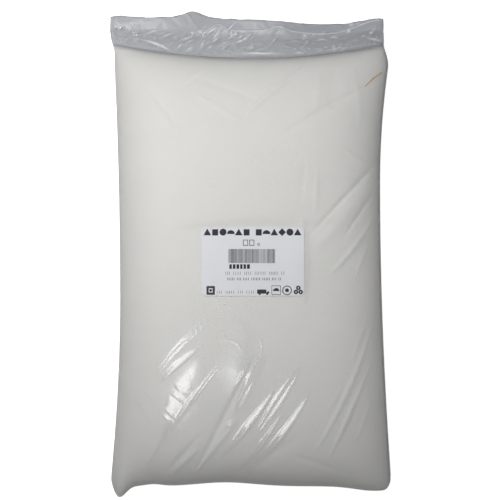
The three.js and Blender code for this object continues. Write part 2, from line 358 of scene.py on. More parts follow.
# Small plain marks along the label's lower edge, squares with their stroke
SQUARE_MARKS = ((Box(-33.9, -27.8, -24.1, -17.7), 1.6), (Box(13.5, 20.2, -24.1, -17.4), 0.35))
BLOCK_MARKS = (Box(3, 9.6, -23.3, -20.3), Box(9.9, 11.7, -23.3, -21.8))
ROUND_MARKS = (
    Disc(-30.85, -20.9, 1),
    Disc(16.9, -21.4, 2.2, end=math.pi),
    Disc(4.9, -23.5, 0.8),
    Disc(10.2, -23.5, 0.8),
    Disc(24.8, -20.9, 3.5, 2.9),
    Disc(24.8, -20.9, 1.4),
    *(
        Disc(33 + 2 * math.cos(turn), -21.1 + 2 * math.sin(turn), 1.65, 0.5)
        for turn in (QUARTER, QUARTER + math.tau / 3, QUARTER + 2 * math.tau / 3)
    ),
)

# The two outlined squares and the ring under the heading
FRAME_SHARE, FRAME_STROKE = 0.8, 0.5
FRAME_RING_LIFT, FRAME_RING = 1, (1, 0.6)

# The stage, in metres but for the plan place under the middle of the view
VIEW_MIDDLE_Y = 176.7
FLOOR_HALF, FLOOR_DROP = 3.0, 0.0002
Lamp = namedtuple("Lamp", "place target size mirrored length_way", defaults=((0, 1, 0),))
KEY_LAMP = Lamp((-0.12, 0.14, 0.5), (-0.12, 0.14, 0), (0.2, 0.2), False)
GLINT_LAMP = Lamp((-0.305, -0.317, 1.3), (-0.05, -0.1, 0.045), (0.32, 0.54), True, (0.5, 0.87, 0))
SIDE_LAMP = Lamp((-0.538, 0.076, 1.1), (0.013, -0.115, 0.047), (0.4, 0.4), True)


def hill(distance, width):
    return np.exp(-((distance / width) ** 2))


def hills(bumps, x):
    return sum(rise * hill(x - place, width) for place, width, rise in bumps)


def smooth(value, low, high):
    share = np.clip((value - low) / (high - low), 0, 1)
    return share * share * (3 - 2 * share)


def mix(a, b, share):
    return a + (b - a) * share


def side_reach(side, y):
    from_waist = np.minimum(y, SHOULDER_Y) - side.waist_y
    below = side.end_flare * (from_waist / side.waist_y) ** 2
    above = side.mouth_flare * (from_waist / (SHOULDER_Y - side.waist_y)) ** 2
    return side.waist + np.where(from_waist < 0, below, above)


def plan_x(across, y):
    left, right = side_reach(LEFT_SIDE, y), side_reach(RIGHT_SIDE, y)
    lean = MOUTH_LEAN * smooth(y, MOUTH_LEAN_START, MOUTH_LEAN_END)
    dent = DENT_DEPTH * hill(y - DENT_Y, DENT_WIDTH) * np.maximum(0, across) ** 4
    return across * (left + right) / 2 + (right - left) / 2 * across**2 + lean - dent


def fill_end(across):
    return FILL_END_MIDDLE + FILL_END_RISE * across**2


def lip_y(across):
    return LIP_Y + hills(LIP_BUMPS, across * EDGE_HALF_WIDTH)


def front_lip_y(across):
    """Where the front sheet ends: with the back sheet at the left, and below it at the right."""
    x = across * EDGE_HALF_WIDTH
    own = FRONT_LIP_Y + hills(FRONT_LIP_BUMPS, x)
    apart = smooth(x, *FRONT_LIP_JOIN)
    return np.minimum(mix(lip_y(across), own, apart), lip_y(across)) - 0.6


def body_y(across, along):
    x = across * EDGE_HALF_WIDTH
    in_corner = np.clip((np.abs(across) - 1 + CORNER_SHARE) / CORNER_SHARE, 0, 1)
    corner = CORNER_RISE * (1 - np.sqrt(1 - in_corner**2))
    bottom = hills(BOTTOM_BUMPS, x) + corner
    return fill_end(across) * along + bottom * (1 - along) ** BOTTOM_BUMP_POWER


def side_profile(across):
    return np.sqrt(np.clip(1 - np.abs(across) ** SIDE_POWER, 0, 1)) * (1 - CROWN_FALL * across**2)


def end_profile(along):
    return np.sqrt(np.clip(1 - np.abs(2 * np.minimum(along, 1) - 1) ** END_POWER, 0, 1))


def soft_relief(x, y):
    """Lumps and soft folds of the filled face."""
    lumps = sum(lump.rise * hill(np.hypot(x - lump.x, y - lump.y), lump.width) for lump in FACE_LUMPS)
    return lumps + sum(fold.rise * crease_shape(x, y, fold) for fold in SOFT_FOLDS)


def crease_shape(x, y, crease):
    """A crease's form over places in the plan, from 0 beside it to 1 at its highest place."""
    start, run = np.array(crease.start), np.subtract(crease.end, crease.start)
    length = np.hypot(*run)
    share = ((x - start[0]) * run[0] + (y - start[1]) * run[1]) / length**2
    rising, falling = share / crease.peak, (1 - share) / (1 - crease.peak)
    taper = np.sqrt(np.clip(np.minimum(rising, falling), 0, 1))
    bow = crease.bow * np.clip(4 * share * (1 - share), 0, 1)
    offset = ((y - start[1]) * run[0] - (x - start[0]) * run[1]) / length - bow
    width = np.where(offset > 0, crease.left, crease.right) * mix(0.15, 1, taper)
    return taper * hill(offset, width)


def crease_height(x, y, creases):
    """Height of the film's creases over places in the plan."""
    height = np.zeros_like(x)
    for crease in creases:
        height = np.maximum(height, crease.rise * crease_shape(x, y, crease))
    return height


def pucker_creases(count, seed):
    """Short creases that run in from the sides and the bottom end, where the flat film is gathered."""
    rng = np.random.default_rng(seed)
    puckers = []
    for _ in range(count):
        y = rng.uniform(*SIDE_GATHER_Y)
        way = rng.choice((-1, 1), p=LEFT_AND_RIGHT_SHARE)
        side, gather = (LEFT_SIDE, LEFT_GATHER) if way < 0 else (RIGHT_SIDE, RIGHT_GATHER)
        length, lean = rng.uniform(*gather.length), rng.normal(gather.lean, gather.lean_spread)
        start = (way * side_reach(side, y) * SIDE_GATHER_REACH, y)
        end = (start[0] - way * length * math.cos(lean), y + length * math.sin(lean))
        rise = rng.uniform(*gather.rise)
        left, right = rng.uniform(*gather.left), rng.uniform(*GATHER_RIGHT)
        puckers.append(Crease(start, end, left, right, rise, 0, GATHER_PEAK))
    gather = END_GATHER
    for _ in range(count // PUCKERS_PER_END_PUCKER):
        x, length = rng.uniform(*END_GATHER_X), rng.uniform(*gather.length)
        lean = rng.normal(gather.lean, gather.lean_spread)
        end = (x + length * math.sin(lean), END_GATHER_END + length * math.cos(lean))
        left, right = rng.uniform(*gather.left), rng.uniform(*GATHER_RIGHT)
        rise = rng.uniform(*gather.rise)
        puckers.append(Crease((x, END_GATHER_START), end, left, right, rise, 0, GATHER_PEAK))
    return puckers


def mouth_crinkles(count, seed):
    """Small creases of the empty mouth: slanting near the middle left, crossing at the right."""
    rng = np.random.default_rng(seed)
    crinkles = []
    for _ in range(count):
        places = rng.normal(*CRINKLE_CLUSTER), rng.uniform(*CRINKLE_RIGHT), rng.uniform(*CRINKLE_ALL)
        x, y = rng.choice(places, p=CRINKLE_SHARES), rng.uniform(*CRINKLE_Y)
        if x < SLANT_END:
            turn = rng.normal(*SLANT)
        else:
            turn = rng.choice(CROSSING) + rng.normal(0, CROSSING_SPREAD)
        length = rng.uniform(*CRINKLE_LENGTH)
        end = (x + length * math.cos(turn), y + length * math.sin(turn))
        width, rise = rng.uniform(*CRINKLE_WIDTH), rng.uniform(*CRINKLE_RISE)
        crinkles.append(Crease((x, y), end, width, width, rise, rng.normal(0, CRINKLE_BOW)))
    return crinkles


def crowded(step):
    """Moves even steps from -1 to 1 closer together near both ends."""
    return mix(step, np.sin(step * np.pi / 2), SUGAR_CROWDING)


def grid_normals(points):
    """Unit normals of a grid of points, pointing up from a face."""
    across = np.gradient(points, axis=1)
    along = np.gradient(points, axis=0)
    normals = np.cross(across, along)
    return normals / np.maximum(np.linalg.norm(normals, axis=-1, keepdims=True), 1e-9)


def to_frame(points):
    """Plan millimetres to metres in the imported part's frame, placed by the label that both share."""
    low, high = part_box("label")
    middle = np.array([(low.x + high.x) / 2, (low.y + high.y) / 2, 0])
    shift = middle - np.array([LABEL_X, LABEL_Y, 0]) * MM
    return points * MM + shift


def new_piece(name, points, faces, material=None, smooth_shaded=True, edges=()):
    mesh = bpy.data.meshes.new(name)
    mesh.from_pydata(points.reshape(-1, 3).tolist(), edges, faces)
    mesh.update()
    if material:
        mesh.materials.append(material)
    mesh.polygons.foreach_set("use_smooth", [smooth_shaded] * len(mesh.polygons))
    piece = bpy.data.objects.new(name, mesh)
    bpy.context.scene.collection.objects.link(piece)
    return piece


def grid_faces(index, up=True):
    """Quads between the vertex numbers of a grid."""
    quads = np.stack([index[:-1, :-1], index[:-1, 1:], index[1:, 1:], index[1:, :-1]], axis=-1).reshape(-1, 4)
    return (quads if up else quads[:, ::-1]).tolist()


def rim_loop(index):
    """Vertex numbers round the rim of a grid, anticlockwise seen from above."""
    return [*index[0, :-1], *index[:-1, -1], *index[-1, :0:-1], *index[:0:-1, 0]]


def closed_faces(shape):
    """Faces of a face and a back grid of one shape whose rims are joined by a wall."""
    face = np.arange(shape[0] * shape[1]).reshape(shape)
    back = face + face.size
    top, bottom = rim_loop(face), rim_loop(back)
    wall = [
        [int(top[i - 1]), int(bottom[i - 1]), int(bottom[i]), int(top[i])]
        for i in range(len(top))
    ]
    return grid_faces(face) + grid_faces(back, up=False) + wall


def sealed_faces(shape):
    """Faces of a fine face grid and a back grid with half as many steps, which share their rim.

    Returns the faces and the (row, column) of each vertex that only the back has."""
    rows, columns = shape
    face = np.arange(rows * columns).reshape(shape)
    back = face.copy()
    inner = [(j, i) for j in range(2, rows - 2, 2) for i in range(2, columns - 2, 2)]
    for number, place in enumerate(inner):
        back[place] = face.size + number
    faces = grid_faces(face)
    for j in range(0, rows - 1, 2):
        for i in range(0, columns - 1, 2):
            loop = [back[j, i], back[j, i + 2], back[j + 2, i + 2], back[j + 2, i]]
            if j == 0:
                loop.insert(1, back[j, i + 1])
            if i + 3 == columns:
                loop.insert(loop.index(back[j + 2, i + 2]), back[j + 1, i + 2])
            if j + 3 == rows:
                loop.insert(loop.index(back[j + 2, i]), back[j + 2, i + 1])
            if i == 0:
                loop.append(back[j + 1, i])
            faces.append([int(n) for n in reversed(loop)])
    return faces, inner


def set_input(modifier, name, value):
    """Sets a Geometry Nodes modifier's input by its socket's identifier."""
    for item in modifier.node_group.interface.items_tree:
        if item.item_type == "SOCKET" and item.in_out == "INPUT" and item.name == name:
            modifier[item.identifier] = value
            return
    raise ValueError(f"{modifier.node_group.name} has no input {name}")


def settle(piece):
    """Turns a piece with modifiers into a plain mesh."""
    depsgraph = bpy.context.evaluated_depsgraph_get()
    mesh = bpy.data.meshes.new_from_object(piece.evaluated_get(depsgraph), depsgraph=depsgraph)
    piece.modifiers.clear()
    piece.data = mesh


class Tree:
    """A short way to add and join nodes of one tree."""

    def __init__(self, tree):
        self.tree = tree

    def add(self, kind, values=None, **settings):
        node = self.tree.nodes.new(kind)
        for name, value in settings.items():
            setattr(node, name, value)
        for socket, value in (values or {}).items():
            self.feed(node.inputs[socket], value)
        return node

    def feed(self, socket, value):
        if isinstance(value, bpy.types.NodeSocket):
            self.tree.links.new(value, socket)
        else:
            socket.default_value = value

    def maths(self, operation, *values, clamp=False):
        node = self.add("ShaderNodeMath", dict(enumerate(values)), operation=operation, use_clamp=clamp)
        return node.outputs[0]

    def scaled(self, vector, factor):
        node = self.add("ShaderNodeVectorMath", {0: vector, "Scale": factor}, operation="SCALE")
        return node.outputs[0]

    def vector(self, x=0.0, y=0.0, z=0.0):
        return self.add("ShaderNodeCombineXYZ", {0: x, 1: y, 2: z}).outputs[0]

    def shader_attribute(self, name):
        return self.add("ShaderNodeAttribute", attribute_name=name).outputs["Fac"]

    def mesh_attribute(self, name):
        node = self.add("GeometryNodeInputNamedAttribute", {"Name": name}, data_type="FLOAT")
        return node.outputs["Attribute"]

    def random_number(self, between, seed):
        node = self.add("FunctionNodeRandomValue", {"Seed": seed}, data_type="FLOAT")
        self.feed(node.inputs[2], between[0])
        self.feed(node.inputs[3], between[1])
        return node.outputs[1]

    def end_with(self, geometry, source, out):
        """Ends a Geometry Nodes tree with real geometry in its material."""
        real = self.add("GeometryNodeRealizeInstances", {0: geometry})
        values = {"Geometry": real.outputs[0], "Material": source.outputs["Material"]}
        self.feed(out, self.add("GeometryNodeSetMaterial", values).outputs[0])


def new_material(name):
    """An empty material's tree with its output node."""
    material = bpy.data.materials.new(name)
    material.use_nodes = True
    material.node_tree.nodes.clear()
    tree = Tree(material.node_tree)
    return material, tree, tree.add("ShaderNodeOutputMaterial")


def new_group(name, kind, inputs, outputs):
    """A node group with named sockets. Each input is name, socket type and default."""
    group = bpy.data.node_groups.new(name, kind)
    for title, socket_type, value in inputs:
        socket = group.interface.new_socket(title, in_out="INPUT", socket_type=socket_type)
        if value is not None:
            socket.default_value = value
    for title, socket_type in outputs:
        group.interface.new_socket(title, in_out="OUTPUT", socket_type=socket_type)
    tree = Tree(group)
    return group, tree, tree.add("NodeGroupInput"), tree.add("NodeGroupOutput")


def speckle_group():
    """Fine uneven grain of object space: a shade from 0 to 1 and a height."""
    name = "Speckle"
    if name in bpy.data.node_groups:
        return bpy.data.node_groups[name]
    group, tree, source, out = new_group(
        name,
        "ShaderNodeTree",
        [("Grain Size", "NodeSocketFloat", 0.001), ("Patch Size", "NodeSocketFloat", 0.03)],
        [("Shade", "NodeSocketFloat"), ("Height", "NodeSocketFloat")],
    )
    place = tree.add("ShaderNodeTexCoord").outputs["Object"]
    grain_scale = tree.maths("DIVIDE", 1.0, source.outputs["Grain Size"])
    patch_scale = tree.maths("DIVIDE", 1.0, source.outputs["Patch Size"])
    grain = tree.add("ShaderNodeTexNoise", {"Vector": place, "Scale": grain_scale, "Detail": 3.0})
    patch = tree.add("ShaderNodeTexNoise", {"Vector": place, "Scale": patch_scale, "Detail": 2.0})
    half_grain, half_patch = (tree.maths("MULTIPLY", noise.outputs["Fac"], 0.5) for noise in (grain, patch))
    tree.feed(out.inputs["Shade"], tree.maths("ADD", half_grain, half_patch))
    tree.feed(out.inputs["Height"], grain.outputs["Fac"])
    return group


def between(tree, share, low, high):
    """A colour between two others by a share."""
    node = tree.add("ShaderNodeMix", data_type="RGBA")
    tree.feed(node.inputs[0], share)
    tree.feed(node.inputs[6], (*low, 1))
    tree.feed(node.inputs[7], (*high, 1))
    return node.outputs[2]


def tinted(colour, factor):
    return tuple(channel * factor for channel in colour)


def speckled_material(name, colour, shades, sizes, bump, roughness, specular=0.5):
    """A grained solid finish between a darker and a paler shade of a colour.

    Sizes are those of a grain and of a wider patch, and bump is its strength and depth, in metres."""
    material, tree, out = new_material(name)
    speckle = tree.add("ShaderNodeGroup", node_tree=speckle_group())
    tree.feed(speckle.inputs["Grain Size"], sizes[0])
    tree.feed(speckle.inputs["Patch Size"], sizes[1])
    paint = between(tree, speckle.outputs["Shade"], *(tinted(colour, shade) for shade in shades))
    values = {"Height": speckle.outputs["Height"], "Strength": bump[0], "Distance": bump[1]}
    relief = tree.add("ShaderNodeBump", values).outputs[0]
    values = {"Base Color": paint, "Normal": relief, "Roughness": roughness, "Specular IOR Level": specular}
    tree.feed(out.inputs["Surface"], tree.add("ShaderNodeBsdfPrincipled", values).outputs[0])
    return material


def film_material(finish):
    """Clear glossy film: it lets most light through, mirrors by its angle, and is milky where slack; its
    milkiness also holds painted shade, and its pale crests painted highlight.
    """
    material, tree, out = new_material("clear_film")
    haziness, crest, lifted = (tree.shader_attribute(name) for name in ("haze_and_shade", "crest", "gloss"))
    place = tree.add("ShaderNodeTexCoord").outputs["Object"]
    fine, wide = (
        tree.add("ShaderNodeTexNoise", {"Vector": place, **wave}).outputs["Fac"]
        for wave in (FINE_WAVE, WIDE_WAVE)
    )
    height = tree.maths("MULTIPLY_ADD", fine, FINE_WAVE_SHARE, wide)
    values = {"Height": height, "Strength": WAVE_STRENGTH, "Distance": WAVE_DEPTH}
    relief = tree.add("ShaderNodeBump", values).outputs[0]
    haze_and_shade = tree.maths("MULTIPLY_ADD", haziness, finish.mouth_haze, finish.body_haze)
    haze_and_shade = tree.maths("MULTIPLY_ADD", crest, CREST_PALE_SHARE, haze_and_shade, clamp=True)
    clear = tree.add("ShaderNodeBsdfTransparent", {"Color": CLEAR_COLOUR})
    milky = tree.add("ShaderNodeBsdfPrincipled", {"Normal": relief, "Roughness": 0.5})
    # the crests' paler colour is partly whitening of the stretched film and partly painted highlight
    tree.feed(milky.inputs["Base Color"], between(tree, crest, tuple(finish.haze_colour), PALE_CREST_AND_HIGHLIGHT_COLOUR))
    body = tree.add("ShaderNodeMixShader", {0: haze_and_shade, 1: clear.outputs[0], 2: milky.outputs[0]})
    # a thin film mirrors by the same angle from both of its sides
    tilt = tree.add("ShaderNodeLayerWeight", {"Blend": 0.5, "Normal": relief}).outputs["Facing"]
    grazing = tree.maths("MULTIPLY_ADD", tree.maths("POWER", tilt, 5.0), 1 - HEAD_ON_MIRROR, HEAD_ON_MIRROR)
    least, most = CLINGING_SHINE * finish.film_shine, finish.film_shine
    polish = tree.maths("MULTIPLY_ADD", lifted, most - least, least)
    mirror = tree.maths("MULTIPLY", grazing, polish, clamp=True)
    smoother = finish.film_roughness - CLINGING_ROUGHNESS
    rough = tree.maths("MULTIPLY_ADD", lifted, smoother, CLINGING_ROUGHNESS)
    gloss = tree.add("ShaderNodeBsdfGlossy", {"Normal": relief, "Roughness": rough})
    film = tree.add("ShaderNodeMixShader", {0: mirror, 1: body.outputs[0], 2: gloss.outputs[0]})
    tree.feed(out.inputs["Surface"], film.outputs[0])
    return material


def ink_material(name, colour):
    return speckled_material(name, colour, (0.8, 1.25), (0.0004, 0.006), (0.1, 0.0001), 0.45)


def crumple_tree():
    """Lays a net of fine crumples onto a film, as high as its slack attribute allows."""
    group, tree, source, out = new_group(
        "Film Crumple",
        "GeometryNodeTree",
        [
            ("Film", "NodeSocketGeometry", None),
            ("Height", "NodeSocketFloat", 0.0005),
            ("Size", "NodeSocketFloat", 0.012),
            ("Seed", "NodeSocketFloat", 0.0),
            ("Material", "NodeSocketMaterial", None),
        ],
        [("Film", "NodeSocketGeometry")],
    )
    seed, scale = source.outputs["Seed"], tree.maths("DIVIDE", 1.0, source.outputs["Size"])
    warp = tree.add("ShaderNodeTexNoise", {"Scale": scale, "W": seed, "Detail": 1.0}, noise_dimensions="4D")
    place = tree.add("GeometryNodeInputPosition").outputs[0]
    values = {0: warp.outputs["Color"], 1: CRUMPLE_BEND, 2: place}
    warped = tree.add("ShaderNodeVectorMath", values, operation="MULTIPLY_ADD")
    cells = tree.add(
        "ShaderNodeTexVoronoi",
        {"Vector": warped.outputs[0], "Scale": scale, "W": seed},
        voronoi_dimensions="4D",
        feature="DISTANCE_TO_EDGE",
    )
    values = {"Value": cells.outputs["Distance"], "From Max": CRUMPLE_EDGE, "To Min": 1.0, "To Max": 0.0}
    ridge = tree.add("ShaderNodeMapRange", values, interpolation_type="SMOOTHSTEP")
    tall = tree.maths("MULTIPLY", ridge.outputs[0], source.outputs["Height"])
    tall = tree.maths("MULTIPLY", tall, tree.mesh_attribute("slack"))
    offset = tree.scaled(tree.add("GeometryNodeInputNormal").outputs[0], tall)
    moved = tree.add("GeometryNodeSetPosition", {"Geometry": source.outputs["Film"], "Offset": offset})
    tree.end_with(moved.outputs[0], source, out.inputs["Film"])
    return group


def grains_tree():
    """Scatters small crystals on a film, just under its surface, by its grainy attribute."""
    group, tree, source, out = new_group(
        "Stray Grains",
        "GeometryNodeTree",
        [
            ("Film", "NodeSocketGeometry", None),
            ("Density", "NodeSocketFloat", 900000.0),
            ("Grain Size", "NodeSocketFloat", 0.0006),
            ("Seed", "NodeSocketInt", 1),
            ("Material", "NodeSocketMaterial", None),
        ],
        [("Grains", "NodeSocketGeometry")],
    )
    seed, density = source.outputs["Seed"], source.outputs["Density"]
    density = tree.maths("MULTIPLY", tree.mesh_attribute("grainy"), density)
    values = {"Mesh": source.outputs["Film"], "Density": density, "Seed": seed}
    points = tree.add("GeometryNodeDistributePointsOnFaces", values)
    under = tree.scaled(points.outputs["Normal"], -GRAIN_DEPTH)
    sunk = tree.add("GeometryNodeSetPosition", {"Geometry": points.outputs["Points"], "Offset": under})
    crystal = tree.add("GeometryNodeMeshCube", {"Size": GRAIN_SHAPE})
    values = {"Min": (0.0, 0.0, 0.0), "Max": (math.tau, math.tau, math.tau), "Seed": seed}
    turn = tree.add("FunctionNodeRandomValue", values, data_type="FLOAT_VECTOR")
    size = tree.maths("MULTIPLY", tree.random_number(GRAIN_STRETCH, seed), source.outputs["Grain Size"])
    values = {"Points": sunk.outputs[0], "Instance": crystal.outputs[0], "Scale": size}
    placed = tree.add("GeometryNodeInstanceOnPoints", {**values, "Rotation": turn.outputs[0]})
    tree.end_with(placed.outputs[0], source, out.inputs["Grains"])
    return group


def thread_tree():
    """Turns a chain of edges into a thin round thread."""
    group, tree, source, out = new_group(
        "Thread",
        "GeometryNodeTree",
        [
            ("Path", "NodeSocketGeometry", None),
            ("Radius", "NodeSocketFloat", 0.0003),
            ("Material", "NodeSocketMaterial", None),
        ],
        [("Thread", "NodeSocketGeometry")],
    )
    curve = tree.add("GeometryNodeMeshToCurve", {0: source.outputs["Path"]})
    smoothed = tree.add("GeometryNodeCurveSplineType", {"Curve": curve.outputs[0]}, spline_type="CATMULL_ROM")
    values = {"Resolution": GLINT_STREAK_SIDES, "Radius": source.outputs["Radius"]}
    profile = tree.add("GeometryNodeCurvePrimitiveCircle", values)
    values = {"Curve": smoothed.outputs[0], "Profile Curve": profile.outputs[0], "Fill Caps": True}
    thread = tree.add("GeometryNodeCurveToMesh", values)
    tree.end_with(thread.outputs[0], source, out.inputs["Thread"])
    return group


def face_points(across, along):
    """The filled face of the bag, for the sugar and for the label that lies on it."""
    y = body_y(across, along)
    x = plan_x(across, y)
    full = side_profile(across) * end_profile(along)
    edge = EDGE_Z - END_EDGE_DROP * (1 - along) ** END_EDGE_POWER
    z = edge + ((THICKNESS - EDGE_Z) + soft_relief(x, y)) * full
    return np.stack([x, y, z], axis=-1)


def back_points(across, along):
    y = body_y(across, along)
    full = side_profile(across) * end_profile(along)
    edge = EDGE_Z - END_EDGE_DROP * (1 - along) ** END_EDGE_POWER
    z = np.maximum(0, edge - BACK_PRESS * full)
    return np.stack([plan_x(across, y), y, z], axis=-1)


def mouth_shape(across, share):
    """Middle height of the empty mouth, and half its opening, at a share of the way to the lip."""
    wave = LIP_WAVE * share * np.sin(LIP_WAVES * np.pi * across)
    middle = mix(EDGE_Z, SEAL_Z, smooth(share, 0, SEAL_AT)) + wave
    opening = HEAD_GAP * np.clip(1 - share / SEAL_AT, 0, 1) ** HEAD_GAP_POWER
    return middle, (opening + FILM_HALF * np.sqrt(np.clip(1 - share**8, 0, 1))) * side_profile(across)


def window(value, low, high, blend):
    """One between low and high, and nothing further than a blend outside them."""
    return smooth(value, low - blend, low) * (1 - smooth(value, high, high + blend))


def graded(low, high, count, density):
    """Places from low to high that stand closer together where the density is higher."""
    samples = np.linspace(low, high, 2001)
    steps = density((samples[1:] + samples[:-1]) / 2)
    share = np.concatenate([[0], np.cumsum(steps)]) / np.sum(steps)
    return np.interp(np.linspace(0, 1, count + 1), share, samples)


def column_density(across):
    near_edge = np.abs(across) > EDGE_COLUMNS
    return 1 + FINE_COLUMN_GAIN * window(across, *FINE_COLUMNS) + EDGE_COLUMN_GAIN * near_edge


def row_density(along):
    near_end = np.abs(along - 0.5) > EDGE_ROWS
    return 1 + FINE_ROW_GAIN * window(along, *FINE_ROWS) + EDGE_ROW_GAIN * near_end


def film_rows():
    """The rows of the film's grid: along the body to 1, then to the front lip at 2 and the lip at 3."""
    body = graded(0, 1, FILM_BODY, row_density)
    front = 1 + np.linspace(0, 1, FILM_MOUTH + 1)[1:]
    strip = 2 + np.linspace(0, 1, FILM_STRIP + 1)[1:]
    return np.concatenate([body, front, strip])


def film_sheets(form):
    """Grids of the film's face and back, and its slack, haze, grains, gloss and crests at each vertex."""
    across, row = np.meshgrid(graded(-1, 1, FILM_ACROSS, column_density), film_rows())
    along = np.minimum(row, 1)
    body = body_y(across, along)
    front = mix(fill_end(across), front_lip_y(across), np.clip(row - 1, 0, 1))
    strip = mix(front_lip_y(across), lip_y(across), np.clip(row - 2, 0, 1))
    y = np.where(row <= 1, body, np.where(row <= 2, front, strip))
    x = plan_x(across, y)
    share = np.clip((y - fill_end(across)) / (lip_y(across) - fill_end(across)), 0, 1)
    share = np.where(row <= 1, 0, share)
    middle, half = mouth_shape(across, share)
    edge = np.where(row <= 1, EDGE_Z - END_EDGE_DROP * (1 - along) ** END_EDGE_POWER, middle)
    open_half = half * smooth(row, HEAD_GAP_START, 1)
    full = side_profile(across) * end_profile(along)
    gap = form.film_gap / MM * np.sqrt(np.clip(1 - across**12, 0, 1)) * smooth(row, 0, 0.01)
    rise = np.hypot((THICKNESS - EDGE_Z) * full, open_half) + soft_relief(x, y) * full
    face = np.stack([x, y, edge + rise + gap * (row < 3)], axis=-1)
    down = np.hypot(BACK_PRESS * full, open_half)
    back = np.stack([x, y, np.maximum(0, edge - down)], axis=-1)

    glossy = [*STREAKS, *SHEEN_FOLDS]
    clinging = [*SIDE_CREASES, *pucker_creases(form.pucker_count, form.seed)]
    mouth = [*MOUTH_CREASES, *mouth_crinkles(form.crinkle_count, form.seed + 1)]
    relief = crease_height(x, y, glossy + clinging + mouth) + crease_height(x, y, [SOFT_SHEEN])
    relief = relief * form.crease_height
    inner = np.clip((1 - np.abs(across)) / 0.03, 0, 1) * smooth(row, 0, 0.02) * (1 - smooth(row, 2.8, 3))
    face += grid_normals(face) * (relief * inner)[..., None]

    curl = hills(CURLS, x) + LEAST_CURL
    face[..., 2] += curl * smooth(row, 1.5, 2) * (row <= 2) * inner
    strip_z = back[..., 2] + STRIP_LIFT * (1 - smooth(row, 2.9, 3))
    face[..., 2] = np.where(row > 2, strip_z, face[..., 2])
    in_mouth, patch = smooth(row, 0.97, 1.03), crease_shape(x, y, SHEEN_PATCH)
    # the grain spots also clear the film's milkiness, as painted sparkle
    spots = np.maximum.reduce([hill(np.hypot(x - gx, y - gy), reach) for gx, gy, reach in GRAIN_AND_SPARKLE_SPOTS])
    seam = SEAM_GRAIN * hill(y - fill_end(across) - SEAM_GRAIN_Y, SEAM_GRAIN_WIDTH)
    lifted = np.maximum(crease_height(x, y, glossy) / GLOSS_HEIGHT, SHEEN_GLOSS * patch)
    lifted = np.maximum(lifted, SOFT_GLOSS * crease_shape(x, y, SOFT_SHEEN))
    crest = np.clip(crease_height(x, y, mouth) / CREST_HEIGHT, 0, 1) ** 3 * in_mouth
    # painted highlight along the front sheet's free end
    front_lip_highlight = hill(row - 2, FRONT_LIP_WIDTH) * (row <= 2) * smooth(x, *FRONT_LIP_JOIN)
    # painted shade: the mouth's milkiness grows towards its right end, and the right rim gets a milky line,
    # both darkening the film there
    mouth_haze_and_shade = smooth(row, 0.985, 1) + STRIP_HAZE * smooth(row, 1.98, 2.02)
    mouth_haze_and_shade = mouth_haze_and_shade * (1 + RIGHT_PAINTED_SHADE * smooth(across, -0.2, 1)) * (1 - SPARKLE_CLEARNESS * spots)
    return face, back, {
        "slack": np.maximum(in_mouth, SHEEN_SLACK * patch),
        "haze_and_shade": np.maximum(mouth_haze_and_shade, RIGHT_RIM_PAINTED_SHADE * smooth(across, 0.97, 0.99)),
        "grainy": np.maximum(spots, seam) * (row > 1),
        "gloss": np.clip(np.maximum(lifted, MOUTH_GLOSS * in_mouth), 0, 1),
        "crest": np.maximum(crest, FRONT_LIP_HIGHLIGHT * front_lip_highlight),
    }


def label_outline_grid():
    """Places of the label's grid in the plan, with its corners drawn onto their arcs."""
    half = np.array([LABEL_WIDTH / 2, LABEL_HEIGHT / 2])
    lines = [np.linspace(-h, h, 2 * round(h / LABEL_STEP) + 1) for h in half]
    x, y = np.meshgrid(*lines)
    out_x, out_y = np.abs(x) - half[0] + LABEL_CORNER, np.abs(y) - half[1] + LABEL_CORNER
    inside = (out_x <= 0) | (out_y <= 0)
    shrink = np.maximum(out_x, out_y) / np.maximum(np.hypot(out_x, out_y), 1e-9)
    x = np.where(inside, x, np.sign(x) * (half[0] - LABEL_CORNER + out_x * shrink))
    y = np.where(inside, y, np.sign(y) * (half[1] - LABEL_CORNER + out_y * shrink))
    return x + LABEL_X, y + LABEL_Y


def face_height(x, y):
    """Height of the filled face over places in the plan."""
    across, along = np.zeros_like(x), np.full_like(x, 0.5)
    for _ in range(12):
        here = face_points(across, along)
        across = across + (x - here[..., 0]) / EDGE_HALF_WIDTH
        along = along + (y - here[..., 1]) / FILL_END_MIDDLE
    return face_points(across, along)[..., 2]


def raised(x, y):
    """Points and faces of thin print that stands up from a grid of places."""
    top = np.stack([x, y, np.full_like(x, PRINT_THICKNESS)], axis=-1)
    bottom = top * (1, 1, 0)
    return np.concatenate([top.reshape(-1, 3), bottom.reshape(-1, 3)]), closed_faces(x.shape)


def bar(box):
    """A thin printed bar, with columns of vertices to bend it by."""
    columns = max(1, round((box.right - box.left) / BAR_STEP))
    return raised(*np.meshgrid(np.linspace(box.left, box.right, columns + 1), (box.low, box.high)))


def disc(shape):
    """A thin printed disc, ring, arc or shape of few sides."""
    turns = np.linspace(shape.end, shape.start, shape.sides + 1)
    turn, reach = np.meshgrid(turns, (shape.inner, shape.outer))
    return raised(shape.x + reach * np.cos(turn), shape.y + reach * np.sin(turn))


def print_blocks(box, rng):
    """A line of print as a row of blocks of uneven length."""
    blocks, left = [], box.left
    while left < box.right - BLOCK_WIDTH[0]:
        right = min(box.right, left + rng.uniform(*BLOCK_WIDTH))
        blocks.append(bar(Box(left, right, box.low, box.high)))
        left = right + BLOCK_GAP
    return blocks


def joined(parts):
    """One list of points and one of faces from many."""
    points, faces, count = [], [], 0
    for some_points, some_faces in parts:
        points.append(some_points)
        faces += [[n + count for n in face] for face in some_faces]
        count += len(some_points)
    return np.concatenate(points), faces


